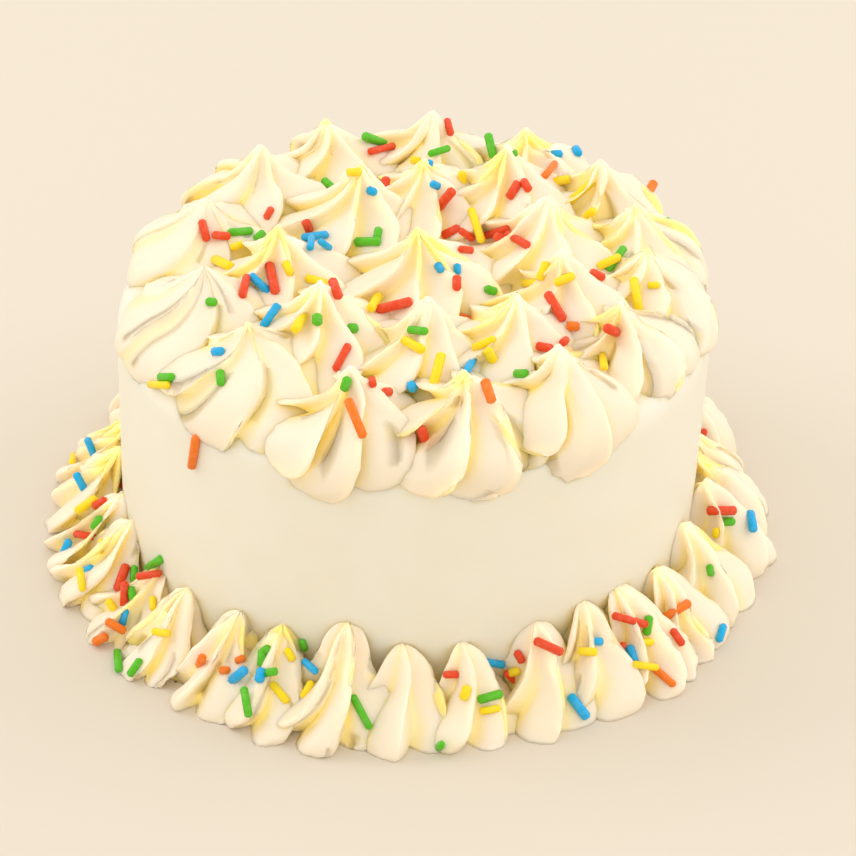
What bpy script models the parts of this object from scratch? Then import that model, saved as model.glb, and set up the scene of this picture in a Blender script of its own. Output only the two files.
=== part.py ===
"""Birthday cake: a small round cake coated smoothly in whipped cream.

Twisted star-tip swirls cover its top, and the outer ones hang a little over the
edge. A border of smaller swirls stands round its foot. Coloured sugar strands
are scattered on both, and one has stuck to the side.

Metres, +Z up. The origin is the middle of the cake's foot, and the front is -Y.
"""

import math
import random

import bmesh
import bpy
from mathutils import Matrix, Vector
from mathutils.bvhtree import BVHTree

MM = 0.001
TURN = 2 * math.pi

# The coated cake: a drum with a soft upper edge, which leans a little to +X.
BODY_RADIUS = 68 * MM
BODY_HEIGHT = 65 * MM
BODY_EDGE = 6 * MM
BODY_FOOT_EDGE = 1 * MM
BODY_SIDES = 72
EDGE_STEPS = 3
LEAN = 2 * MM / BODY_HEIGHT
SAME_POINT = 0.01 * MM

# Between cream that touches in the real cake there is this much air here.
GAP = 0.3 * MM

# Where the baker put each swirl of the top, in degrees and mm from the middle,
# and its radius in mm: an outer ring near the edge, and swirls set down by eye
# to fill the rest.
OUTER_SWIRLS = (
    (-162, 51, 22), (-131, 49, 20.5), (-105, 57, 18.5), (-79, 56, 19), (-56, 56, 19), (-31, 52, 21), (-8, 52, 20),
    (15, 54, 19), (38, 54, 19), (62, 55, 20), (87, 56, 19), (112, 55, 19), (136, 53, 20), (160, 52, 22),
)
INNER_SWIRLS = (
    (-176, 32, 20), (-130, 34, 19), (-88, 34, 19), (-57, 36, 19), (-25, 36, 20),
    (18, 30, 20), (55, 37, 19), (86, 30, 20), (124, 27, 20), (-70, 5, 21),
)

# One swirl of the top, as it leaves a large star tip that turns as it is drawn up.
OUTER_HEIGHT = 17 * MM
INNER_HEIGHT = 20 * MM
SWIRL_TWIST = math.radians(60)
SWIRL_POWER = 1.05
SWIRL_RIDGES = 6
SWIRL_LEVELS = (0.0, 0.1, 0.27, 0.47, 0.68, 0.87)

# An outer swirl's foot starts this far inside the cake, which is then cut away
# from it with the gap, so that its hanging part follows the coat closely.
OUTER_SINK = GAP + 1.2 * MM

# One swirl of the border, from a smaller star tip. Its peak leans to the cake's side.
BORDER_SWIRLS = 32
BORDER_RING = 75 * MM
BORDER_RADIUS = 10.3 * MM
BORDER_HEIGHT = 19 * MM
BORDER_POWER = 0.75
BORDER_PEAK_LEAN = 2 * MM
BORDER_TWIST = math.radians(55)
BORDER_RIDGES = 5
BORDER_LEVELS = (0.0, 0.16, 0.42, 0.72)

# How unevenly the border is set down: along the ring as a share of the spacing,
# and in or out from it.
BORDER_STRAY_ALONG = 0.12
BORDER_STRAY_OUT = 0.6 * MM

# No two swirls are alike. Each has its own share of the common radius, height
# and twist, and its peak leans off its axis by a share of the radius.
RADIUS_SHARES = (0.96, 1.04)
HEIGHT_SHARES = (0.93, 1.07)
TWIST_SHARES = (0.8, 1.2)
PEAK_SHIFT_SHARES = (0.03, 0.12)

# A swirl's outline is a cone, hollow where its power is over 1 and full where it
# is under 1. It bulges between its foot and this share of its height, and its
# grooves deepen up to the same height.
BULGE_TOP = 0.6
BULGE = 0.2
GROOVE_AT_FOOT = 0.24
GROOVE_GAIN = 0.3

# A ridge is a lobe from one groove to the next: it swells gently up to its
# crest, then falls away sharply. These are its corners, as shares of its width.
CREST_AT = 0.78
RIDGE_CORNERS = (0.0, 0.4, CREST_AT)
SHARP_FROM = 30

# A sugar strand is a short rod with blunt ends, pressed into the cream.
# STRAND_PROUD is how far its axis lies above the surface, as a share of its
# radius. Its middle is aimed between two shares of a swirl's height.
STRAND_RADIUS = 1.1 * MM
STRAND_LENGTHS = (4 * MM, 9.5 * MM)
STRAND_SIDES = 6
STRAND_TIP = 0.35 * MM
STRAND_PROUD = 0.3
STRAND_SPACING = 4 * MM
STRAND_TRIES = 60
STRANDS_ON_SWIRL = 2
STRANDS_ON_BORDER = 1
STRANDS_FROM, STRANDS_TO = 0.25, 0.7
SIDE_STRAND_LENGTH = 9 * MM
SIDE_STRAND_AZIMUTH = -134
SIDE_STRAND_HEIGHT = 55 * MM
SIDE_STRAND_TILT = 6

SEED = 27


def clear_scene():
    for thing in list(bpy.data.objects):
        bpy.data.objects.remove(thing, do_unlink=True)


def cream(name, colour, roughness):
    material = bpy.data.materials.new(name)
    material.use_nodes = True
    shader = material.node_tree.nodes["Principled BSDF"]
    shader.inputs["Base Color"].default_value = (*colour, 1.0)
    shader.inputs["Roughness"].default_value = roughness
    shader.inputs["Metallic"].default_value = 0.0
    return material


def object_from(bm, name, material=None, collection=None):
    bmesh.ops.recalc_face_normals(bm, faces=bm.faces)
    mesh = bpy.data.meshes.new(name)
    bm.to_mesh(mesh)
    bm.free()
    if material:
        mesh.materials.append(material)
    thing = bpy.data.objects.new(name, mesh)
    (collection or bpy.context.scene.collection).objects.link(thing)
    return thing


def apply_modifiers(thing):
    """Turns the object's evaluated shape into its own mesh, and keeps its outer shell alone."""
    graph = bpy.context.evaluated_depsgraph_get()
    shaped = bpy.data.meshes.new_from_object(thing.evaluated_get(graph))
    shaped.name = thing.name
    thing.modifiers.clear()
    thing.data = shaped
    bm = bmesh.new()
    bm.from_mesh(shaped)
    shells = shells_of(bm)
    for shell in sorted(shells, key=len)[:-1]:
        bmesh.ops.delete(bm, geom=shell, context="VERTS")
    bm.to_mesh(shaped)
    bm.free()


def shells_of(bm):
    """The mesh's separate shells: the form itself, and any sealed pocket or loose scrap."""
    left = set(bm.verts)
    shells = []
    while left:
        shell = [left.pop()]
        for corner in shell:
            for edge in corner.link_edges:
                other = edge.other_vert(corner)
                if other in left:
                    left.remove(other)
                    shell.append(other)
        shells.append(shell)
    return shells


def smooth_form(thing):
    thing.data.shade_smooth()
    thing.data.set_sharp_from_angle(angle=math.radians(SHARP_FROM))


def leaned(point):
    """The whole cake leans: a point stands further to +X the higher it is."""
    return Vector((point.x + LEAN * point.z, point.y, point.z))


def polar(radius, azimuth):
    return Vector((radius * math.cos(azimuth), radius * math.sin(azimuth)))


def draped(point):
    """Bends what reaches past the top's flat part over the drum's soft edge and down its side."""
    out = Vector((point.x, point.y))
    past = out.length - (BODY_RADIUS - BODY_EDGE)
    if past <= 0:
        return point
    above = point.z - BODY_HEIGHT
    turned = min(past / BODY_EDGE, math.pi / 2)
    hanging = max(past - BODY_EDGE * math.pi / 2, 0)
    bent = out.normalized() * (BODY_RADIUS - BODY_EDGE + (BODY_EDGE + above) * math.sin(turned))
    height = BODY_HEIGHT - BODY_EDGE + (BODY_EDGE + above) * math.cos(turned) - hanging
    return Vector((bent.x, bent.y, height))


class Swirl:
    """One piped swirl: its form as a function of the angle round its axis and the way up it."""

    def __init__(self, name, axis, foot, radius, height, power, twist, ridges, draw, bends):
        self.name = name
        self.axis = axis
        self.foot = foot
        self.power = power
        self.ridges = ridges
        self.bends = bends
        self.radius = radius * draw.uniform(*RADIUS_SHARES)
        self.height = height * draw.uniform(*HEIGHT_SHARES)
        self.twist = twist * draw.uniform(*TWIST_SHARES)
        self.phase = draw.uniform(0, TURN)
        self.peak_shift = polar(radius * draw.uniform(*PEAK_SHIFT_SHARES), draw.uniform(0, TURN))
        self.neighbours = []
        self.wall = None

    def room(self, way):
        """How far the cream spreads this way before it meets the next swirl or the cake's side."""
        free = math.inf
        for other in self.neighbours:
            apart = other.axis - self.axis
            towards = way.dot(apart)
            if towards > 0:
                free = min(free, (apart.length - GAP) / 2 * apart.length / towards)
        if self.wall:
            inward = way.dot(self.axis)
            reach = inward**2 - self.axis.length_squared + self.wall**2
            if inward < 0 and reach > 0:
                free = min(free, -inward - math.sqrt(reach))
        return free

    def place(self, around, up, sink=0.0):
        """The surface point at ridge position `around` (in ridges) and share `up` of the height."""
        across = around % 1.0
        if across <= CREST_AT:
            swell = math.sin(math.pi / 2 * across / CREST_AT)
        else:
            swell = math.cos(math.pi / 2 * (across - CREST_AT) / (1 - CREST_AT))
        risen = min(up / BULGE_TOP, 1.0)
        groove = GROOVE_AT_FOOT + GROOVE_GAIN * risen
        outline = (1 - up) ** self.power + BULGE * math.sin(math.pi * risen)
        reach = self.radius * outline * (1 - groove * (1 - swell))
        angle = TURN * around / self.ridges + self.phase + self.twist * up
        offset = polar(reach, angle) + self.peak_shift * up
        way = offset.normalized()
        offset = way * min(offset.length, self.room(way))
        flat = self.axis + offset
        point = Vector((flat.x, flat.y, self.foot + self.height * up - sink))
        return draped(point) if self.bends else point


def tower(rows, corners):
    """A circle closed at its foot, extruded row by row, then drawn to a point."""
    bm = bmesh.new()
    bmesh.ops.create_circle(bm, cap_ends=True, cap_tris=True, segments=corners, radius=1.0)
    rim = [edge for edge in bm.edges if edge.is_boundary]
    for _ in range(rows - 1):
        grown = bmesh.ops.extrude_edge_only(bm, edges=rim)["geom"]
        lifted = {part for part in grown if isinstance(part, bmesh.types.BMVert)}
        rim = [part for part in grown if isinstance(part, bmesh.types.BMEdge) and set(part.verts) <= lifted]
        bmesh.ops.translate(bm, verts=list(lifted), vec=(0, 0, 1))
    tip = bmesh.ops.extrude_edge_only(bm, edges=rim)["geom"]
    tip = [part for part in tip if isinstance(part, bmesh.types.BMVert)]
    bmesh.ops.pointmerge(bm, verts=tip, merge_co=(0, 0, rows))
    return bm


def swirl_object(swirl, levels, sunk, material):
    """The swirl as a closed solid: each corner of a tower is moved to its place on the form.

    The middle of the foot is sunk twice as deep as its rim, so that the facets
    between them stay inside the cake and are cut away with it.
    """
    corners = swirl.ridges * len(RIDGE_CORNERS)
    bm = tower(len(levels), corners)
    for corner in bm.verts:
        row = round(corner.co.z)
        on_axis = corner.co.to_2d().length < SAME_POINT
        if row == len(levels):
            point = swirl.place(0, 1.0)
        elif on_axis:
            point = Vector((*swirl.axis, swirl.foot - 2 * sunk))
        else:
            step = round(math.atan2(corner.co.y, corner.co.x) / TURN * corners) % corners
            ridge, which = divmod(step, len(RIDGE_CORNERS))
            point = swirl.place(ridge + RIDGE_CORNERS[which], levels[row], sunk if row == 0 else 0.0)
        corner.co = leaned(point)
    bmesh.ops.triangulate(bm, faces=bm.faces)
    return object_from(bm, swirl.name, material)


def drum(name, grown, material=None):
    """The coated cake as a turned solid, larger by `grown` all over."""
    radius = BODY_RADIUS + grown
    bottom = -grown
    bm = bmesh.new()
    profile = [Vector((0, 0, bottom)), Vector((radius - BODY_FOOT_EDGE, 0, bottom))]
    profile.append(Vector((radius, 0, bottom + BODY_FOOT_EDGE)))
    inner = Vector((BODY_RADIUS - BODY_EDGE, 0, BODY_HEIGHT - BODY_EDGE))
    for step in range(EDGE_STEPS + 1):
        turned = math.pi / 2 * step / EDGE_STEPS
        arm = Vector((math.cos(turned), 0, math.sin(turned))) * (BODY_EDGE + grown)
        profile.append(inner + arm)
    profile.append(Vector((0, 0, BODY_HEIGHT + grown)))
    corners = [bm.verts.new(point) for point in profile]
    line = [bm.edges.new(pair) for pair in zip(corners, corners[1:])]
    bmesh.ops.spin(
        bm, geom=corners + line, cent=(0, 0, 0), axis=(0, 0, 1), angle=TURN, steps=BODY_SIDES, use_merge=True
    )
    bmesh.ops.remove_doubles(bm, verts=bm.verts, dist=SAME_POINT)
    for corner in bm.verts:
        corner.co = leaned(corner.co)
    return object_from(bm, name, material)


def strand(middle, along, outward, length, collection):
    """A sugar strand lying across `outward`, its ends drawn out a little to a blunt point."""
    bm = bmesh.new()
    bmesh.ops.create_cone(
        bm,
        cap_ends=True,
        cap_tris=True,
        segments=STRAND_SIDES,
        radius1=STRAND_RADIUS,
        radius2=STRAND_RADIUS,
        depth=length,
    )
    for corner in bm.verts:
        if corner.co.to_2d().length < SAME_POINT:
            corner.co.z += math.copysign(STRAND_TIP, corner.co.z)
    across = outward.cross(along).normalized()
    outward = along.cross(across)
    frame = Matrix((across, outward, along)).transposed()
    for corner in bm.verts:
        corner.co = frame @ corner.co + middle
    return object_from(bm, "strand", collection=collection)


def fuse(thing, collection):
    """Joins every strand of the collection to the cream, then removes the loose ones."""
    joined = thing.modifiers.new("strands", "BOOLEAN")
    joined.operation = "UNION"
    joined.solver = "EXACT"
    joined.operand_type = "COLLECTION"
    joined.collection = collection
    apply_modifiers(thing)
    for loose in list(collection.objects):
        bpy.data.objects.remove(loose, do_unlink=True)


def cut(thing, cutter):
    trimmed = thing.modifiers.new("clear of the cake", "BOOLEAN")
    trimmed.operation = "DIFFERENCE"
    trimmed.solver = "EXACT"
    trimmed.object = cutter
    apply_modifiers(thing)


def clear_of_others(swirl, point):
    """True where a strand's end keeps to its own swirl's room and above its foot."""
    flat = Vector((point.x - LEAN * point.z, point.y)) - swirl.axis
    margin = STRAND_RADIUS + GAP
    return flat.length + margin < swirl.room(flat.normalized()) and point.z > swirl.foot + margin


def lay_strands(swirl, thing, count, draw, collection):
    """Lays up to this many strands on the swirl, each flat on the cream where it lies."""
    surface = BVHTree.FromObject(thing, bpy.context.evaluated_depsgraph_get())
    laid = []
    for _ in range(STRAND_TRIES):
        if len(laid) == count:
            break
        aimed = leaned(swirl.place(draw.uniform(0, swirl.ridges), draw.uniform(STRANDS_FROM, STRANDS_TO)))
        spot, outward, _, _ = surface.find_nearest(aimed)
        turned = Matrix.Rotation(draw.uniform(0, TURN), 3, outward)
        along = turned @ outward.orthogonal().normalized()
        length = draw.uniform(*STRAND_LENGTHS)
        centre = spot + outward * STRAND_RADIUS * STRAND_PROUD
        ends = [centre + along * length / 2, centre - along * length / 2]
        if not all(clear_of_others(swirl, end) for end in (*ends, centre)):
            continue
        if any((centre - other).length < STRAND_SPACING for other in laid):
            continue
        laid.append(centre)
        strand(centre, along, outward, length, collection)
    return len(laid)


def side_strand(collection):
    azimuth = math.radians(SIDE_STRAND_AZIMUTH)
    outward = polar(1, azimuth).to_3d()
    tilt = Matrix.Rotation(math.radians(SIDE_STRAND_TILT), 3, outward)
    centre = outward * (BODY_RADIUS + STRAND_RADIUS * STRAND_PROUD) + Vector((0, 0, SIDE_STRAND_HEIGHT))
    strand(leaned(centre), tilt @ Vector((0, 0, 1)), outward, SIDE_STRAND_LENGTH, collection)


def top_swirls(draw):
    """The swirls of the top, outer ring first."""
    made = []
    for number, (azimuth, out, radius) in enumerate((*OUTER_SWIRLS, *INNER_SWIRLS), 1):
        bends = number <= len(OUTER_SWIRLS)
        height = OUTER_HEIGHT if bends else INNER_HEIGHT
        axis = polar(out * MM, math.radians(azimuth))
        name = f"top_swirl_{number:02d}"
        foot = BODY_HEIGHT + GAP
        made.append(
            Swirl(name, axis, foot, radius * MM, height, SWIRL_POWER, SWIRL_TWIST, SWIRL_RIDGES, draw, bends)
        )
    for swirl in made:
        swirl.neighbours = [other for other in made if other is not swirl]
    return made


def border_swirls(draw):
    made = []
    for number in range(BORDER_SWIRLS):
        stray = draw.uniform(-BORDER_STRAY_ALONG, BORDER_STRAY_ALONG)
        azimuth = TURN * (number + stray) / BORDER_SWIRLS
        axis = polar(BORDER_RING + draw.uniform(-BORDER_STRAY_OUT, BORDER_STRAY_OUT), azimuth)
        name = f"border_swirl_{number + 1:02d}"
        radius, height = BORDER_RADIUS, BORDER_HEIGHT
        made.append(
            Swirl(name, axis, 0.0, radius, height, BORDER_POWER, BORDER_TWIST, BORDER_RIDGES, draw, False)
        )
    for number, swirl in enumerate(made):
        swirl.peak_shift -= swirl.axis.normalized() * BORDER_PEAK_LEAN
        swirl.neighbours = [made[number - 1], made[(number + 1) % BORDER_SWIRLS]]
        swirl.wall = BODY_RADIUS + GAP
    return made


def build():
    clear_scene()
    draw = random.Random(SEED)
    coat = cream("cake coat cream", (0.93, 0.86, 0.70), 0.45)
    piped = cream("piped cream of the top", (0.95, 0.89, 0.72), 0.42)
    border = cream("piped cream of the border", (0.95, 0.88, 0.71), 0.42)
    strands = bpy.data.collections.new("strands")
    bpy.context.scene.collection.children.link(strands)

    body = drum("cake_body", 0.0, coat)
    side_strand(strands)
    fuse(body, strands)

    cutter = drum("room_for_the_cake", GAP)
    for swirl in top_swirls(draw):
        thing = swirl_object(swirl, SWIRL_LEVELS, OUTER_SINK if swirl.bends else 0.0, piped)
        if lay_strands(swirl, thing, STRANDS_ON_SWIRL, draw, strands):
            fuse(thing, strands)
        if swirl.bends:
            cut(thing, cutter)
    bpy.data.objects.remove(cutter, do_unlink=True)

    for swirl in border_swirls(draw):
        thing = swirl_object(swirl, BORDER_LEVELS, 0.0, border)
        if lay_strands(swirl, thing, STRANDS_ON_BORDER, draw, strands):
            fuse(thing, strands)

    bpy.data.collections.remove(strands)
    for thing in bpy.context.scene.objects:
        smooth_form(thing)


build()
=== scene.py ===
"""The looks of a small birthday cake: whipped cream, twisted piped swirls and sugar strands."""

import math
import random

import bmesh
import bpy
from mathutils import Matrix, Vector, noise
from mathutils.bvhtree import BVHTree


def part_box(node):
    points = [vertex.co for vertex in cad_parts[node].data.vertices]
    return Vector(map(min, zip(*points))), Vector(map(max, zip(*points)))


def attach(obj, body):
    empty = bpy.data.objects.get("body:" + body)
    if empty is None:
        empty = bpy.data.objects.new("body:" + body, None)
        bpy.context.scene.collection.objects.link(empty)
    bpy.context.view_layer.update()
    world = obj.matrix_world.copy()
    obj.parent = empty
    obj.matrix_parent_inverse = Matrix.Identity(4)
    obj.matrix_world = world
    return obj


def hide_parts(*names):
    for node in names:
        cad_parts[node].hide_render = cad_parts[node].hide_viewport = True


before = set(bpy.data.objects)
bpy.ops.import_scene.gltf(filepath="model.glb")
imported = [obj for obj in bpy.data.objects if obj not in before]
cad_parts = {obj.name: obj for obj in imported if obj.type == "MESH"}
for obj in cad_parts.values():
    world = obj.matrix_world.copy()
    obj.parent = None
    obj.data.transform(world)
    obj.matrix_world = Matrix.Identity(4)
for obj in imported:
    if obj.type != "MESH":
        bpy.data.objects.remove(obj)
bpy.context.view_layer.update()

# Camera
# The photograph was taken with a long lens from above the cake's front, so that
# its round top shows whole. The camera stands where that lens did.
MM = 0.001
PICTURE_SIDE = 856
FOCAL_LENGTH_PIXELS = 3000
SENSOR_WIDTH = 36
CAMERA_PLACE = Vector((0, -576.4, 435.8)) * MM
CAMERA_AIM = Vector((5.0, 0, 27.2)) * MM
CAMERA_ROLL = math.radians(0.27)

camera_data = bpy.data.cameras.new("camera")
camera_data.sensor_width = SENSOR_WIDTH
camera_data.lens = FOCAL_LENGTH_PIXELS / PICTURE_SIDE * SENSOR_WIDTH
camera = bpy.data.objects.new("camera", camera_data)
bpy.context.scene.collection.objects.link(camera)
camera_turn = (CAMERA_AIM - CAMERA_PLACE).to_track_quat("-Z", "Y").to_matrix()
camera_turn = camera_turn @ Matrix.Rotation(CAMERA_ROLL, 3, "Z")
camera.matrix_world = Matrix.Translation(CAMERA_PLACE) @ camera_turn.to_4x4()
bpy.context.scene.camera = camera

# The picture shows its colours as they are. A film-like curve would grey the cream.
bpy.context.scene.view_settings.view_transform = "Standard"

# Room
# A pale matt floor under soft light. Two wide lamps, at the left and the right of
# the cake and a little behind it, give the cream its form. The pale room fills
# the shadows.
FLOOR_SIDE = 6.0
FLOOR_COLOUR = "#DFD4C3"
ROOM_COLOUR = "#FFFDF8"
ROOM_STRENGTH = 1.08


def linear(hex_colour):
    """An sRGB hex colour as the linear red, green, blue and alpha that a shader takes."""
    lights = []
    for at in (1, 3, 5):
        share = int(hex_colour[at : at + 2], 16) / 255
        lights.append(share / 12.92 if share <= 0.04045 else ((share + 0.055) / 1.055) ** 2.4)
    return (*lights, 1.0)


def add_node(tree, kind, sockets=None, **settings):
    """Adds a node. Each named socket takes a value, or the output that is linked to it."""
    made = tree.nodes.new(kind)
    for name, value in settings.items():
        setattr(made, name, value)
    for name, value in (sockets or {}).items():
        if isinstance(value, bpy.types.NodeSocket):
            tree.links.new(value, made.inputs[name])
        else:
            made.inputs[name].default_value = value
    return made


def finished_object(bm, name, material):
    """Turns a bmesh into a smooth-shaded object of the scene."""
    mesh = bpy.data.meshes.new(name)
    bm.to_mesh(mesh)
    bm.free()
    mesh.materials.append(material)
    mesh.shade_smooth()
    made = bpy.data.objects.new(name, mesh)
    bpy.context.scene.collection.objects.link(made)
    return made


painted_floor = bpy.data.materials.new("matt painted floor")
painted_floor.use_nodes = True
floor_shader = painted_floor.node_tree.nodes["Principled BSDF"]
floor_shader.inputs["Base Color"].default_value = linear(FLOOR_COLOUR)
floor_shader.inputs["Roughness"].default_value = 0.9
floor_shader.inputs["Specular IOR Level"].default_value = 0.2
bm = bmesh.new()
bmesh.ops.create_grid(bm, x_segments=1, y_segments=1, size=FLOOR_SIDE / 2)
floor = finished_object(bm, "floor", painted_floor)

room = bpy.data.worlds.new("pale room")
bpy.context.scene.world = room
room.use_nodes = True
room.node_tree.nodes["Background"].inputs["Color"].default_value = linear(ROOM_COLOUR)
room.node_tree.nodes["Background"].inputs["Strength"].default_value = ROOM_STRENGTH


def soft_lamp(name, place, size, power, colour):
    """A wide flat lamp that faces the cake."""
    lamp_data = bpy.data.lights.new(name, "AREA")
    lamp_data.shape = "DISK"
    lamp_data.size = size
    lamp_data.energy = power
    lamp_data.color = linear(colour)[:3]
    lamp = bpy.data.objects.new(name, lamp_data)
    bpy.context.scene.collection.objects.link(lamp)
    aimed = (CAMERA_AIM - place).to_track_quat("-Z", "Y").to_matrix().to_4x4()
    lamp.matrix_world = Matrix.Translation(place) @ aimed


soft_lamp("window", place=Vector((-0.8, 0.2, 0.75)), size=0.6, power=2.0, colour="#F8F6FF")
soft_lamp("reflector", place=Vector((0.85, 0.15, 0.6)), size=0.7, power=1.9, colour="#F8F6FF")

# Coated cake
# A sponge coated all over in ivory whipped cream, which a scraper held against
# it as it turned has left smooth, with faint bands round its side. It leans a
# little to the right, and its top edge is soft.
TURN = 2 * math.pi
BODY_RADIUS = 68 * MM
BODY_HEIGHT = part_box("cake_body")[1].z
BODY_EDGE = 6 * MM
BODY_FOOT_EDGE = 1 * MM
BODY_SIDES = 180
EDGE_STEPS = 8
SIDE_STEPS = 36
LEAN = 2 * MM / BODY_HEIGHT
SAME_POINT = 0.01 * MM

# The scraper left faint bands, drawn out round the side, and the hand that held
# it a slow unevenness.
BAND_SPACING = 9 * MM
BAND_DEPTH = 0.14 * MM
BAND_SQUEEZE = 0.2
HAND_SPACING = 45 * MM
HAND_DEPTH = 0.45 * MM
HAND_SEED = 7

# Warmer clouds in the cream, and the pits of burst air bubbles. Real pits lie
# closer together, and are too fine to show at this distance.
CLOUD_SPACING = 14 * MM
BUBBLE_SPACING = 2.6 * MM
BUBBLE_EDGE = 0.12


def leaned(point):
    """The whole cake leans: a point stands further to +X the higher it is."""
    return Vector((point.x + LEAN * point.z, point.y, point.z))


def unevenness(point, spacing, depth, seed=0):
    """Smooth random relief: how far a point of the cream stands out, with waves about `spacing` apart."""
    return depth * noise.noise(point / spacing + Vector((seed, 0, 0)))


def whipped_cream(name, light, hollow, bump_spacing, bump_depth, pits):
    """Whipped cream: fat and air in a soft solid foam.

    It is close to white where it stands proud. Its hollows get painted shade: a
    warmer colour, mixed in by a share that each corner carries, standing in for
    light that has gone through more of the cream there. Its sheen is soft, from
    the fat, and its skin shows fine unevenness and a few pits left by air bubbles.
    """
    material = bpy.data.materials.new(name)
    material.use_nodes = True
    tree = material.node_tree
    shader = tree.nodes["Principled BSDF"]
    place = add_node(tree, "ShaderNodeTexCoord").outputs["Object"]
    # Painted shade: how far each corner's colour turns to the warm one, read from the mesh.
    painted_shade_share = add_node(tree, "ShaderNodeAttribute", attribute_name="hollow").outputs["Fac"]
    clouds = add_node(
        tree,
        "ShaderNodeTexNoise",
        {"Vector": place, "Scale": 1 / CLOUD_SPACING, "Detail": 2.0},
    )
    cloudy = add_node(
        tree,
        "ShaderNodeMapRange",
        {"Value": clouds.outputs["Fac"], "From Min": 0.4, "From Max": 0.7, "To Min": 0.0, "To Max": 0.08},
    )
    # The painted shade plus the warmer clouds, which are the cream's own, set the mix from the pale colour
    # to the warm one.
    depth = add_node(
        tree,
        "ShaderNodeMath",
        {0: painted_shade_share, 1: cloudy.outputs["Result"]},
        operation="ADD",
        use_clamp=True,
    )
    colour = add_node(
        tree,
        "ShaderNodeMixRGB",
        {"Fac": depth.outputs[0], "Color1": linear(light), "Color2": linear(hollow)},
    )
    tree.links.new(colour.outputs["Color"], shader.inputs["Base Color"])
    skin = add_node(tree, "ShaderNodeTexNoise", {"Vector": place, "Scale": 1 / bump_spacing, "Detail": 3.0})
    bubbles = add_node(tree, "ShaderNodeTexVoronoi", {"Vector": place, "Scale": 1 / BUBBLE_SPACING})
    pit = add_node(
        tree,
        "ShaderNodeMapRange",
        {"Value": bubbles.outputs["Distance"], "From Max": BUBBLE_EDGE, "To Min": -pits, "To Max": 0.0},
    )
    relief = add_node(
        tree,
        "ShaderNodeMath",
        {0: skin.outputs["Fac"], 1: pit.outputs["Result"]},
        operation="ADD",
    )
    bump = add_node(
        tree,
        "ShaderNodeBump",
        {"Height": relief.outputs[0], "Strength": 1.0, "Distance": bump_depth},
    )
    tree.links.new(bump.outputs["Normal"], shader.inputs["Normal"])
    shader.inputs["Roughness"].default_value = 0.46
    shader.inputs["IOR"].default_value = 1.45
    shader.subsurface_method = "BURLEY"
    shader.inputs["Subsurface Weight"].default_value = 0.75
    shader.inputs["Subsurface Radius"].default_value = (1.0, 0.85, 0.6)
    shader.inputs["Subsurface Scale"].default_value = 3 * MM
    return material


bm = bmesh.new()
corners = [bm.verts.new((0, 0, 0)), bm.verts.new((BODY_RADIUS - BODY_FOOT_EDGE, 0, 0))]
side_top = BODY_HEIGHT - BODY_EDGE
for step in range(SIDE_STEPS + 1):
    height = BODY_FOOT_EDGE + (side_top - BODY_FOOT_EDGE) * step / SIDE_STEPS
    corners.append(bm.verts.new((BODY_RADIUS, 0, height)))
for step in range(1, EDGE_STEPS + 1):
    turned = math.pi / 2 * step / EDGE_STEPS
    out = BODY_RADIUS - BODY_EDGE + BODY_EDGE * math.cos(turned)
    corners.append(bm.verts.new((out, 0, side_top + BODY_EDGE * math.sin(turned))))
corners.append(bm.verts.new((0, 0, BODY_HEIGHT)))
line = [bm.edges.new(pair) for pair in zip(corners, corners[1:])]
bmesh.ops.spin(
    bm, geom=corners + line, cent=(0, 0, 0), axis=(0, 0, 1), angle=TURN, steps=BODY_SIDES, use_merge=True
)
bmesh.ops.remove_doubles(bm, verts=bm.verts, dist=SAME_POINT)
bmesh.ops.recalc_face_normals(bm, faces=bm.faces)
bm.normal_update()
for corner in bm.verts:
    banded = Vector((corner.co.x * BAND_SQUEEZE, corner.co.y * BAND_SQUEEZE, corner.co.z))
    stands = unevenness(banded, BAND_SPACING, BAND_DEPTH)
    stands += unevenness(corner.co, HAND_SPACING, HAND_DEPTH, HAND_SEED)
    if corner.co.z > BODY_FOOT_EDGE:
        corner.co += corner.normal * (stands - HAND_DEPTH / 2)
    corner.co = leaned(corner.co)
coat_cream = whipped_cream(
    "whipped cream, scraped smooth",
    light="#F2ECDA",
    # The warm colour of the painted shade in the coat's hollows.
    hollow="#F2E0A4",
    bump_spacing=2.2 * MM,
    bump_depth=0.05 * MM,
    pits=0.8,
)
coated_cake = finished_object(bm, "coated_cake", coat_cream)
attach(coated_cake, "root")
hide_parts("cake_body")

# Swirls of the top
# Whipped cream pressed out of a large star tip that turns a little as it is
# drawn up. Each gap of the tip leaves a full lobe at the foot, which thins to a
# fin towards the drawn-out peak. The outer ones hang over the cake's edge.

# Each swirl's place, in degrees round the cake and mm from its middle, its radius
# in mm, and how deep its grooves are. The ones at the left were pressed almost
# smooth.
OUTER_SWIRLS = (
    (-162, 50, 22, 0.2), (-133, 50, 24, 0.4), (-105, 57, 18.5, 1), (-79, 56, 19, 1), (-56, 56, 19, 1),
    (-31, 51, 21, 1), (-8, 51, 20, 0.9), (15, 53, 19, 0.8), (38, 54, 19, 1), (62, 55, 20, 1),
    (87, 56, 19, 1), (112, 55, 19, 1), (136, 53, 20, 0.9), (160, 51, 21, 0.3),
)
INNER_SWIRLS = (
    (-176, 32, 22, 0.8), (-130, 34, 21, 0.8), (-88, 34, 21, 0.8), (-57, 36, 21, 0.8), (-25, 36, 22, 0.8),
    (18, 30, 22, 0.8), (55, 37, 21, 0.8), (86, 30, 22, 0.8), (124, 27, 22, 0.8), (-70, 5, 22, 0.8),
)
OUTER_HEIGHT = 17 * MM
INNER_HEIGHT = 20 * MM
SWIRL_TWIST = math.radians(58)
OUTER_RIDGES = 6
INNER_RIDGES = 7
SWIRL_ROWS = 30
SWIRL_SEED = 27

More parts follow.
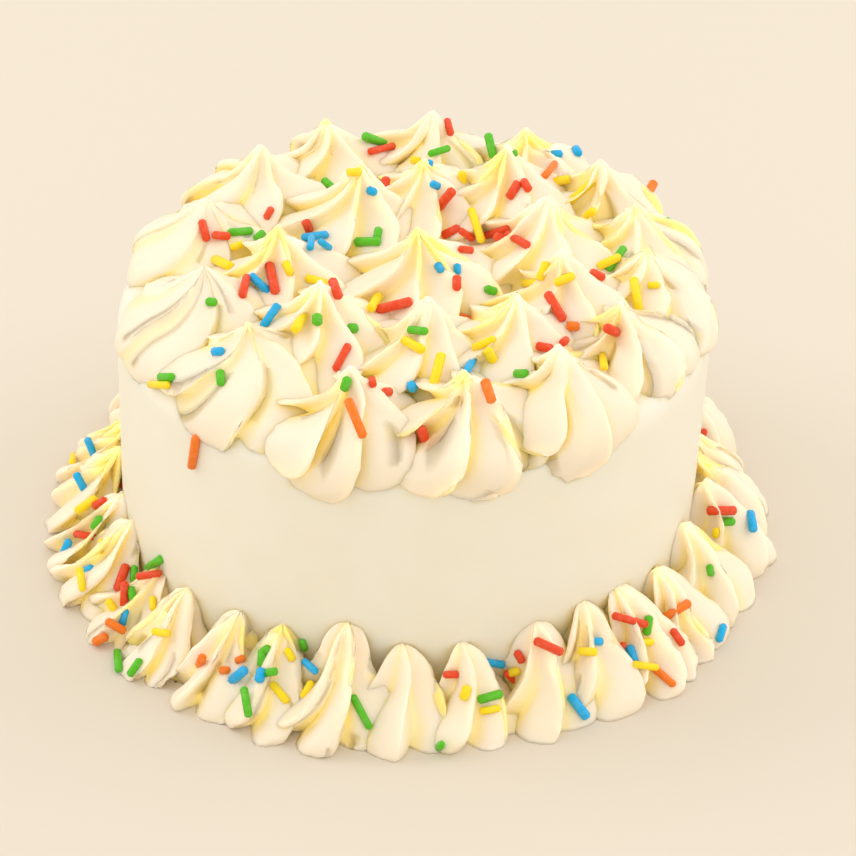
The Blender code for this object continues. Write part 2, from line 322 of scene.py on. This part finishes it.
# No two swirls are alike. Each has its own share of the common radius, height
# and twist, and its peak leans off its axis by a share of the radius.
RADIUS_SHARES = (0.95, 1.08)
HEIGHT_SHARES = (0.88, 1.1)
TWIST_SHARES = (0.8, 1.2)
PEAK_SHIFT_SHARES = (0.03, 0.12)
PEAK_SHIFT_POWER = 1.5

# A swirl's outline is a hollow cone, which bulges between its foot and this
# share of its height. Its grooves deepen up to the same height.
BULGE_TOP = 0.6
BULGE = 0.17
CONE_POWER = 1.1
GROOVE_AT_FOOT = 0.4
GROOVE_GAIN = 0.3

# A lobe ends sharply at its crest, which leans a little over the groove beyond.
# At the foot it is full right up to the crest, and near the peak only a thin
# fin of it is left between hollow flanks.
CREST_AT = 0.76
CREST_LEAN = 0.07
CREST_LEAN_POWER = 3
FULL_LOBE = 1.5
FIN_POWER = 2.4
FIN_FROM = 0.55

# The grooves get painted shade: their colour is made warmer. The crests and the
# peak get painted light: their colour stays pale, where light gets in from all sides.
GROOVE_PAINTED_SHADE = 0.5
PAINTED_LIGHT_AT_CRESTS = 0.5

# Where across a lobe the mesh has its corners: closer together near the crest.
LOBE_STEPS = (0.0, 0.1, 0.2, 0.3, 0.4, 0.49, 0.57, 0.64, 0.7, 0.74, 0.78, 0.83, 0.91)

# What reaches past the top's flat part has thinned out by this share once it
# reaches this far round the edge and down the side. The ones at the left, with
# the shallowest grooves, thin out further and end flush with the coat.
SKIRT_THINNING = 0.72
SKIRT_DROP = 14 * MM

# A swirl's foot is sunk this deep in the coat, so that the cream runs into it.
SUNK = 1.6 * MM
SUNK_UP_TO = 0.08

# The hand that piped it wavered: the crests wander to and fro, some lobes reach
# further than others, the crests are a little ragged and the form softly uneven.
WAVER_SPACING = 22 * MM
WAVER_REACH = 1.1
WAVER_UP = 1.8
WAVER_TURN = 0.42
WAVER_OUT = 0.15
WAVER_APART = Vector((0, 0, 9))
RAGGED_SPACING = 2.2 * MM
RAGGED_DEPTH = 0.6 * MM
RAGGED_POWER = 6
SOFT_SPACING = 11 * MM
SOFT_DEPTH = 1.5 * MM
SOFT_SEED = 3


def polar(radius, azimuth):
    """The point on plan at this distance from the middle, in this direction."""
    return Vector((radius * math.cos(azimuth), radius * math.sin(azimuth)))


def draped(point, thinning):
    """Bends what reaches past the top's flat part over the cake's soft edge and down its side."""
    out = Vector((point.x, point.y))
    past = out.length - (BODY_RADIUS - BODY_EDGE)
    if past <= 0:
        return point
    above = point.z - BODY_HEIGHT
    turned = min(past / BODY_EDGE, math.pi / 2)
    hanging = max(past - BODY_EDGE * math.pi / 2, 0)
    above *= 1 - thinning * min(past / SKIRT_DROP, 1.0)
    bent = out.normalized() * (BODY_RADIUS - BODY_EDGE + (BODY_EDGE + above) * math.sin(turned))
    height = BODY_HEIGHT - BODY_EDGE + (BODY_EDGE + above) * math.cos(turned) - hanging
    return Vector((bent.x, bent.y, height))


class Swirl:
    """One piped swirl: its form as a function of the ridge position round it and the way up it."""

    def __init__(self, axis, foot, radius, height, power, twist, ridges, groove_share, bends, draw):
        self.axis = axis
        self.foot = foot
        self.power = power
        self.groove_share = groove_share
        self.ridges = ridges
        self.bends = bends
        self.radius = radius * draw.uniform(*RADIUS_SHARES)
        self.height = height * draw.uniform(*HEIGHT_SHARES)
        self.twist = twist * draw.uniform(*TWIST_SHARES)
        self.phase = draw.uniform(0, TURN)
        self.peak_shift = polar(radius * draw.uniform(*PEAK_SHIFT_SHARES), draw.uniform(0, TURN))

    def swell(self, across, up):
        """How far a lobe stands out at this share of its width: 0 in the groove, 1 at the crest."""
        if across > CREST_AT:
            near = (1 - across) / (1 - CREST_AT)
            full = math.sin(math.pi / 2 * near)
        else:
            near = across / CREST_AT
            full = math.sin(math.pi / 2 * min(near * FULL_LOBE, 1.0))
        thinned = min(up / FIN_FROM, 1.0)
        return full + (near**FIN_POWER - full) * thinned

    def place(self, around, up):
        """The surface point at ridge position `around` (in ridges) and share `up` of the height."""
        swell = self.swell(around % 1.0, up)
        risen = min(up / BULGE_TOP, 1.0)
        groove = (GROOVE_AT_FOOT + GROOVE_GAIN * risen) * self.groove_share
        outline = (1 - up) ** self.power + BULGE * self.groove_share * math.sin(math.pi * risen)
        reach = self.radius * outline * (1 - groove * (1 - swell))
        # The tip turns fastest while it is low.
        wound = self.twist * (up + 1 - (1 - up) ** 2) / 2
        start = TURN * around / self.ridges + self.phase
        wavering = Vector((*(self.axis / WAVER_SPACING + polar(WAVER_REACH, start)), WAVER_UP * up))
        waver = WAVER_TURN * noise.noise(wavering) * self.groove_share
        reach *= 1 + WAVER_OUT * noise.noise(wavering + WAVER_APART) * self.groove_share
        lean = CREST_LEAN * swell**CREST_LEAN_POWER * min(up / FIN_FROM, 1.0)
        angle = start + TURN * lean / self.ridges + wound + waver
        flat = self.axis + polar(reach, angle) + self.peak_shift * up**PEAK_SHIFT_POWER
        rise = self.height * up - SUNK * max(1 - up / SUNK_UP_TO, 0)
        point = Vector((flat.x, flat.y, self.foot + rise))
        thinning = 1 - (1 - SKIRT_THINNING) * self.groove_share
        return draped(point, thinning) if self.bends else point


def tower(rows, corners):
    """A circle closed at its foot, extruded row by row, then drawn to a point."""
    bm = bmesh.new()
    bmesh.ops.create_circle(bm, cap_ends=True, cap_tris=True, segments=corners, radius=1.0)
    rim = [edge for edge in bm.edges if edge.is_boundary]
    for _ in range(rows - 1):
        grown = bmesh.ops.extrude_edge_only(bm, edges=rim)["geom"]
        lifted = {part for part in grown if isinstance(part, bmesh.types.BMVert)}
        rim = [part for part in grown if isinstance(part, bmesh.types.BMEdge) and set(part.verts) <= lifted]
        bmesh.ops.translate(bm, verts=list(lifted), vec=(0, 0, 1))
    tip = bmesh.ops.extrude_edge_only(bm, edges=rim)["geom"]
    tip = [part for part in tip if isinstance(part, bmesh.types.BMVert)]
    bmesh.ops.pointmerge(bm, verts=tip, merge_co=(0, 0, rows))
    return bm


def piped(swirl, name, rows, material):
    """The swirl as a mesh: each corner of a tower is moved to its place on the form, then made uneven."""
    per_turn = swirl.ridges * len(LOBE_STEPS)
    bm = tower(rows, per_turn)
    hollow = bm.verts.layers.float.new("hollow")
    crests = []
    for corner in bm.verts:
        row = round(corner.co.z)
        up = row / rows
        if row == rows:
            point = swirl.place(0, 1.0)
        elif corner.co.to_2d().length < SAME_POINT:
            point = Vector((*swirl.axis, swirl.foot))
        else:
            step = round(math.atan2(corner.co.y, corner.co.x) / TURN * per_turn) % per_turn
            ridge, which = divmod(step, len(LOBE_STEPS))
            point = swirl.place(ridge + LOBE_STEPS[which], up)
            swell = swirl.swell(LOBE_STEPS[which], up)
            # Painted shade in the grooves, less painted light along the crests and towards the peak.
            grooved = 1 - swirl.swell(LOBE_STEPS[which], 0.0)
            corner[hollow] = GROOVE_PAINTED_SHADE * grooved - PAINTED_LIGHT_AT_CRESTS * max(swell, up) ** 2
            crests.append((corner, swell))
        corner.co = leaned(point)
    bmesh.ops.recalc_face_normals(bm, faces=bm.faces)
    if bm.calc_volume(signed=True) < 0:
        bmesh.ops.reverse_faces(bm, faces=bm.faces)
    bm.normal_update()
    for corner, swell in crests:
        ragged = unevenness(corner.co, RAGGED_SPACING, RAGGED_DEPTH) * swell**RAGGED_POWER
        soft = unevenness(corner.co, SOFT_SPACING, SOFT_DEPTH, SOFT_SEED)
        corner.co += corner.normal * (soft + ragged)
        corner.co.z = max(corner.co.z, 0.0)
    return finished_object(bm, name, material)


piped_cream = whipped_cream(
    "whipped cream, piped",
    light="#F8E9D0",
    # The warm colour of the painted shade in the swirls' grooves and hollows.
    hollow="#FFEA88",
    bump_spacing=1.6 * MM,
    bump_depth=0.06 * MM,
    pits=0.5,
)
draw = random.Random(SWIRL_SEED)
top_swirls = []
for places, height, ridges, bends in (
    (OUTER_SWIRLS, OUTER_HEIGHT, OUTER_RIDGES, True),
    (INNER_SWIRLS, INNER_HEIGHT, INNER_RIDGES, False),
):
    for azimuth, out, radius, groove_share in places:
        swirl = Swirl(
            axis=polar(out * MM, math.radians(azimuth)),
            foot=BODY_HEIGHT,
            radius=radius * MM,
            height=height,
            power=CONE_POWER,
            twist=SWIRL_TWIST,
            ridges=ridges,
            groove_share=groove_share,
            bends=bends,
            draw=draw,
        )
        top_swirls.append(swirl)
top_pieces = []
for number, swirl in enumerate(top_swirls, 1):
    piece = piped(swirl, f"piped_top_swirl_{number:02d}", SWIRL_ROWS, piped_cream)
    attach(piece, "root")
    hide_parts(f"top_swirl_{number:02d}")
    top_pieces.append(piece)

# Border
# The same cream from a smaller star tip, pressed out in a close ring against the
# cake's foot. Each swirl spreads over the floor, and its peak sinks into the wall.
BORDER_SWIRLS = 32
BORDER_RADIUS = 11.7 * MM
BORDER_HEIGHT = 19 * MM
BORDER_POWER = 0.5
BORDER_PEAK_LEAN = 8 * MM
BORDER_TWIST = math.radians(45)
BORDER_ROWS = 18
BORDER_RING = 75 * MM
BORDER_SEED = 5

# Each strays from its even place along the ring and across it, and has its own
# size, number of ridges and depth of groove.
BORDER_STRAY_ALONG = 2.2 * MM
BORDER_STRAY_OUT = 1.2 * MM
BORDER_SIZES = (0.88, 1.12)
BORDER_RIDGES = (5, 6, 6, 7)
BORDER_GROOVE_SHARES = (0.9, 1.2)

draw = random.Random(BORDER_SEED)
border_pieces = []
for number in range(1, BORDER_SWIRLS + 1):
    low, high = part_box(f"border_swirl_{number:02d}")
    middle = (low + high) / 2
    way = Vector((middle.x, middle.y)).normalized()
    axis = way * (BORDER_RING + draw.uniform(-BORDER_STRAY_OUT, BORDER_STRAY_OUT))
    axis += Vector((-way.y, way.x)) * draw.uniform(-BORDER_STRAY_ALONG, BORDER_STRAY_ALONG)
    size = draw.uniform(*BORDER_SIZES)
    swirl = Swirl(
        axis=axis,
        foot=0.0,
        radius=BORDER_RADIUS * size,
        height=BORDER_HEIGHT * size,
        power=BORDER_POWER,
        twist=BORDER_TWIST,
        ridges=draw.choice(BORDER_RIDGES),
        groove_share=draw.uniform(*BORDER_GROOVE_SHARES),
        bends=False,
        draw=draw,
    )
    swirl.peak_shift -= axis.normalized() * BORDER_PEAK_LEAN
    piece = piped(swirl, f"piped_border_swirl_{number:02d}", BORDER_ROWS, piped_cream)
    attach(piece, "root")
    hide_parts(f"border_swirl_{number:02d}")
    border_pieces.append(piece)

# Painted shade in the hollows of the cream
# Light that gets in between two folds of cream meets them again and again, and
# comes out warmer. That is painted into the colour: each corner of the cream
# carries how shut in it is, and its colour turns warmer with it.
PAINTED_SHADE_GAIN = 1.7
PAINTED_SHADE_POWER = 1.6

# From just off the cream each corner looks this far in several ways round, tilted
# in turn a little and a lot from straight out.
HOLLOW_START = 0.4 * MM
HOLLOW_REACH = 8 * MM
HOLLOW_WAYS = 8
HOLLOW_TILTS = (math.radians(28), math.radians(60))

cream_pieces = (coated_cake, *top_pieces, *border_pieces)
cream_shape = bmesh.new()
for piece in cream_pieces:
    cream_shape.from_mesh(piece.data)
cream_surface = BVHTree.FromBMesh(cream_shape)
cream_shape.free()


def shut_in(point, outward):
    """How much of the view out of a point of the cream other cream blocks close by."""
    side = outward.orthogonal().normalized()
    other_side = outward.cross(side)
    blocked = 0.0
    for way in range(HOLLOW_WAYS):
        tilt = HOLLOW_TILTS[way % len(HOLLOW_TILTS)]
        turned = TURN * way / HOLLOW_WAYS
        level = side * math.cos(turned) + other_side * math.sin(turned)
        look = outward * math.cos(tilt) + level * math.sin(tilt)
        _, _, _, distance = cream_surface.ray_cast(point + look * HOLLOW_START, look, HOLLOW_REACH)
        if distance is not None:
            blocked += 1 - distance / HOLLOW_REACH
    return blocked / HOLLOW_WAYS


# Painted shade: the more shut in a corner is, the warmer its colour.
for piece in cream_pieces:
    mesh = piece.data
    hollow = mesh.attributes.get("hollow") or mesh.attributes.new("hollow", "FLOAT", "POINT")
    for corner, depth in zip(mesh.vertices, hollow.data):
        shut = shut_in(corner.co, corner.normal)
        depth.value = min(max(depth.value + PAINTED_SHADE_GAIN * shut**PAINTED_SHADE_POWER, 0.0), 1.0)

# Sugar strands
# Short rods of coloured sugar paste with rounded ends, shaken over the finished
# cake. They lie on the cream where they fell, pressed in a little, and one has
# stuck to the side.
STRAND_RADIUS = 1.0 * MM
STRAND_SIDES = 8
STRAND_ROUNDING = 0.45 * STRAND_RADIUS
STRAND_LENGTHS = (2.5 * MM, 10 * MM)
THICKNESS_SHARES = (0.85, 1.15)
SHARP_ANGLE = math.radians(60)
MOTTLE_SPACING = 1.2 * MM
STRAND_SEED = 11

# A strand's middle line lies this share of its radius above the cream. It feels
# for the cream at these shares of its length, as far up and down as this.
STRAND_PROUD = 0.45
RESTING_SHARES = (-0.42, -0.28, -0.14, 0.0, 0.14, 0.28, 0.42)
STRAND_LOOK = 2.5 * MM

# Where the camera doesn't see, strands fall at random: how many are thrown on the
# top and on the border, and how far out. None stays on cream that faces up by
# less than this.
HIDDEN_ON_TOP = 150
HIDDEN_ON_BORDER = 170
TOP_SPREAD = 56 * MM
BORDER_SPREAD = (71 * MM, 84 * MM)
TOO_STEEP = 0.25

# Where the photograph shows each strand: its middle, across and down in pixels,
# its tilt in degrees from level, and how long it looks in pixels. At the cake's
# distance a millimetre is this many pixels.
PIXELS_PER_MM = 4.25
RED_SEEN = (
    (381, 150, 12, 26), (447, 128, 88, 20), (438, 201, 50, 30), (394, 182, -70, 18), (269, 214, 60, 13),
    (204, 231, -75, 22), (221, 237, 5, 18), (308, 224, -70, 13), (243, 289, 80, 17), (273, 280, -78, 28),
    (334, 290, -85, 21), (397, 310, 22, 34), (342, 358, 62, 28), (371, 383, 60, 12), (386, 393, 0, 8),
    (423, 431, -70, 14), (544, 348, -10, 16), (562, 344, 45, 13), (559, 310, -62, 26), (596, 276, -25, 15),
    (465, 251, -5, 14), (457, 284, 90, 14), (452, 233, 20, 20), (467, 234, -20, 14), (498, 231, 15, 22),
    (509, 228, -50, 18), (521, 243, -20, 17), (515, 191, 60, 20), (526, 186, -60, 14), (610, 329, -50, 9),
    (122, 578, 70, 28), (125, 594, 88, 26), (152, 576, 10, 24), (720, 509, 2, 29), (621, 621, -28, 24),
    (549, 646, -28, 29), (677, 637, -55, 19), (520, 656, -60, 13), (505, 685, -35, 20), (450, 673, 10, 14),
    (628, 647, 10, 10), (116, 481, 60, 16), (101, 503, 30, 14), (86, 531, 0, 24), (703, 434, 70, 12),
)
ORANGE_SEEN = (
    (357, 419, -72, 34), (487, 393, -80, 24), (548, 172, 50, 28), (573, 327, 0, 12), (650, 191, 70, 15),
    (196, 451, 80, 40), (202, 664, 25, 18), (225, 671, 0, 10), (241, 660, 20, 9), (677, 609, 28, 33),
    (663, 676, -40, 30), (114, 624, -25, 20), (100, 638, 30, 16),
)
YELLOW_SEEN = (
    (224, 266, -20, 24), (289, 269, -65, 14), (235, 249, 0, 12), (316, 281, -15, 22), (374, 304, 62, 27),
    (307, 329, 85, 26), (416, 347, -25, 13), (439, 375, 75, 34), (477, 226, -75, 30), (561, 180, 10, 22),
    (582, 192, 42, 34), (592, 216, 85, 16), (638, 299, -82, 28), (654, 286, 0, 12), (601, 364, -85, 26),
    (532, 283, 0, 13), (547, 268, 90, 15), (567, 279, 30, 18), (485, 346, 20, 24), (488, 356, -60, 20),
    (468, 179, 90, 20), (356, 171, 10, 18), (416, 161, 0, 8), (161, 385, 0, 22), (607, 265, 15, 20),
    (502, 300, 10, 12), (290, 655, -60, 14), (280, 693, -50, 24), (305, 693, 60, 18), (155, 604, -85, 14),
    (162, 633, 5, 9), (114, 601, -50, 14), (83, 581, 80, 17), (100, 548, 75, 16), (717, 533, 80, 11),
    (590, 652, 0, 14), (648, 641, 0, 14), (646, 667, 5, 24), (513, 672, 20, 14), (490, 710, 10, 20),
    (77, 461, -20, 18), (89, 506, 50, 22), (467, 693, 70, 14),
)
GREEN_SEEN = (
    (492, 146, -60, 27), (501, 156, 38, 21), (373, 141, -3, 29), (439, 152, 30, 25), (328, 185, -40, 12),
    (240, 233, 5, 24), (259, 237, 40, 10), (368, 243, 0, 26), (378, 235, 80, 12), (319, 320, 90, 11),
    (352, 329, 0, 9), (420, 331, 0, 10), (345, 383, 75, 13), (522, 376, 0, 10), (617, 260, 80, 31),
    (490, 291, -20, 12), (663, 224, 8, 21), (211, 303, 0, 11), (222, 379, 90, 13), (168, 378, 0, 12),
    (304, 644, -70, 11), (263, 658, 88, 17), (268, 649, 30, 10), (276, 677, -5, 16), (249, 703, 85, 26),
    (361, 712, -62, 36), (134, 574, 85, 17), (135, 594, -70, 15), (156, 563, 35, 18), (119, 664, 85, 14),
    (136, 668, 55, 20), (727, 522, 0, 18), (711, 570, -80, 12), (648, 625, 80, 19), (490, 697, 15, 24),
    (442, 751, 50, 14), (105, 525, 60, 14),
)
BLUE_SEEN = (
    (435, 185, -25, 12), (372, 191, -20, 10), (316, 237, 5, 26), (310, 244, 70, 20), (322, 248, 0, 18),
    (255, 282, -52, 22), (275, 313, 68, 21), (414, 385, -50, 24), (467, 371, 58, 22), (457, 270, 90, 10),
    (440, 268, -55, 7), (556, 155, 5, 12), (576, 153, -70, 9), (619, 162, -50, 14), (423, 163, 70, 8),
    (219, 353, 0, 10), (312, 666, -28, 22), (262, 676, 80, 14), (248, 683, 35, 17), (123, 617, 75, 18),
    (88, 565, 38, 16), (750, 523, 85, 25), (720, 633, 75, 18), (596, 639, -20, 13), (633, 655, -70, 17),
    (578, 707, -52, 28), (492, 662, -10, 24), (93, 445, -35, 20), (82, 476, -30, 18), (65, 541, 60, 18),
)
STRAND_KINDS = {
    "red": ("#EA4818", RED_SEEN),
    "orange": ("#F77A0C", ORANGE_SEEN),
    "yellow": ("#FFE00C", YELLOW_SEEN),
    "green": ("#55BE12", GREEN_SEEN),
    "blue": ("#06AEEA", BLUE_SEEN),
}


def sugar_paste(colour_name, colour):
    """Extruded sugar paste with a thin glaze: strong even colour, mottled a little, and a soft sheen."""
    material = bpy.data.materials.new(f"glazed sugar paste, {colour_name}")
    material.use_nodes = True
    tree = material.node_tree
    shader = tree.nodes["Principled BSDF"]
    place = add_node(tree, "ShaderNodeTexCoord").outputs["Object"]
    mottle = add_node(
        tree,
        "ShaderNodeTexNoise",
        {"Vector": place, "Scale": 1 / MOTTLE_SPACING, "Detail": 2.0},
    )
    dusty = add_node(
        tree,
        "ShaderNodeMapRange",
        {"Value": mottle.outputs["Fac"], "From Min": 0.45, "From Max": 0.75, "To Min": 0.0, "To Max": 0.07},
    )
    mixed = add_node(
        tree,
        "ShaderNodeMixRGB",
        {"Fac": dusty.outputs["Result"], "Color1": linear(colour), "Color2": linear("#FFF2DC")},
    )
    tree.links.new(mixed.outputs["Color"], shader.inputs["Base Color"])
    bump = add_node(tree, "ShaderNodeBump", {"Height": mottle.outputs["Fac"], "Distance": 0.05 * MM})
    tree.links.new(bump.outputs["Normal"], shader.inputs["Normal"])
    shader.inputs["Roughness"].default_value = 0.42
    shader.inputs["IOR"].default_value = 1.4
    return material


def add_strand(bm, middle, along, outward, length, radius):
    """One strand, as a rod with rounded ends."""
    others = set(bm.verts)
    rod = bmesh.ops.create_cone(
        bm,
        cap_ends=True,
        segments=STRAND_SIDES,
        radius1=radius,
        radius2=radius,
        depth=length,
    )["verts"]
    rims = {edge for corner in rod for edge in corner.link_edges if edge.calc_face_angle(0) > SHARP_ANGLE}
    bmesh.ops.bevel(
        bm,
        geom=list(rims),
        offset=STRAND_ROUNDING,
        segments=1,
        profile=0.5,
        affect="EDGES",
        material=-1,
    )
    across = outward.cross(along).normalized()
    turned = Matrix((across, along.cross(across), along)).transposed().to_4x4()
    rounded = [corner for corner in bm.verts if corner not in others]
    bmesh.ops.transform(bm, verts=rounded, matrix=Matrix.Translation(middle) @ turned)


def looking_at(across, down):
    """The direction from the camera through this pixel of the picture."""
    half = PICTURE_SIDE / 2
    return (camera_turn @ Vector((across - half, half - down, -FOCAL_LENGTH_PIXELS))).normalized()


def seen_strand(across, down, tilt, looks_long):
    """Where a strand lies that shows at this pixel: its middle, direction, way out and length."""
    sight = looking_at(across, down)
    spot, outward, _, _ = cream_surface.ray_cast(CAMERA_PLACE, sight)
    if spot is None:
        return None
    tilt = math.radians(tilt)
    level = camera_turn @ Vector((math.cos(tilt), math.sin(tilt), 0))
    along = level - sight * (level.dot(outward) / sight.dot(outward))
    shortest, longest = STRAND_LENGTHS
    length = min(max(looks_long / PIXELS_PER_MM * MM * along.length, shortest), longest)
    return resting(spot, along.normalized(), outward, length)


def resting(spot, along, outward, length):
    """Tilts a strand as the cream under its ends is, and lays it on what rises highest under it."""
    heights = []
    for share in RESTING_SHARES:
        above = spot + along * length * share + outward * STRAND_LOOK
        hit, _, _, _ = cream_surface.ray_cast(above, -outward, 2 * STRAND_LOOK)
        heights.append((hit - spot).dot(outward) if hit else -STRAND_LOOK)
    slope = (heights[-1] - heights[0]) / (RESTING_SHARES[-1] - RESTING_SHARES[0])
    lift = max(height - slope * share for height, share in zip(heights, RESTING_SHARES))
    tilted = (along * length + outward * slope).normalized()
    return spot + outward * lift, tilted, tilted.cross(outward.cross(tilted)).normalized(), length


def in_sight(point):
    """Whether the camera sees this point, with no cream before it."""
    sight = point - CAMERA_PLACE
    _, _, _, distance = cream_surface.ray_cast(CAMERA_PLACE, sight.normalized())
    return distance is None or distance > sight.length - STRAND_RADIUS


def fallen_strand(spot_on_plan, draw):
    """Where a strand lies that fell straight down here, or None where the camera would see it."""
    above = Vector((spot_on_plan.x, spot_on_plan.y, 2 * BODY_HEIGHT))
    spot, outward, _, _ = cream_surface.ray_cast(above, Vector((0, 0, -1)))
    if spot is None or outward.z < TOO_STEEP:
        return None
    along = Matrix.Rotation(draw.uniform(0, TURN), 3, outward) @ outward.orthogonal().normalized()
    laid = resting(spot, along, outward, draw.uniform(*STRAND_LENGTHS))
    middle, along, outward, length = laid
    backs = [middle + outward * 2 * STRAND_RADIUS + along * length * share for share in (-0.5, 0.0, 0.5)]
    return None if any(in_sight(back) for back in backs) else laid


draw = random.Random(STRAND_SEED)
strands = {}
for kind, (_, seen) in STRAND_KINDS.items():
    strands[kind] = [seen_strand(*strand) for strand in seen]
kinds = [kind for kind, laid in strands.items() for _ in laid]
for _ in range(HIDDEN_ON_TOP):
    spot = polar(TOP_SPREAD * math.sqrt(draw.random()), draw.uniform(0, TURN))
    strands[draw.choice(kinds)].append(fallen_strand(spot, draw))
for _ in range(HIDDEN_ON_BORDER):
    spot = polar(draw.uniform(*BORDER_SPREAD), draw.uniform(0, TURN))
    strands[draw.choice(kinds)].append(fallen_strand(spot, draw))
for kind, (colour, _) in STRAND_KINDS.items():
    bm = bmesh.new()
    for spot, along, outward, length in filter(None, strands[kind]):
        radius = STRAND_RADIUS * draw.uniform(*THICKNESS_SHARES)
        middle = spot + outward * radius * STRAND_PROUD
        middle.z = max(middle.z, abs(along.z) * length / 2 + radius)
        add_strand(bm, middle, along, outward, length, radius)
    bmesh.ops.recalc_face_normals(bm, faces=bm.faces)
    piece = finished_object(bm, f"{kind}_sugar_strands", sugar_paste(kind, colour))
    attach(piece, "root")
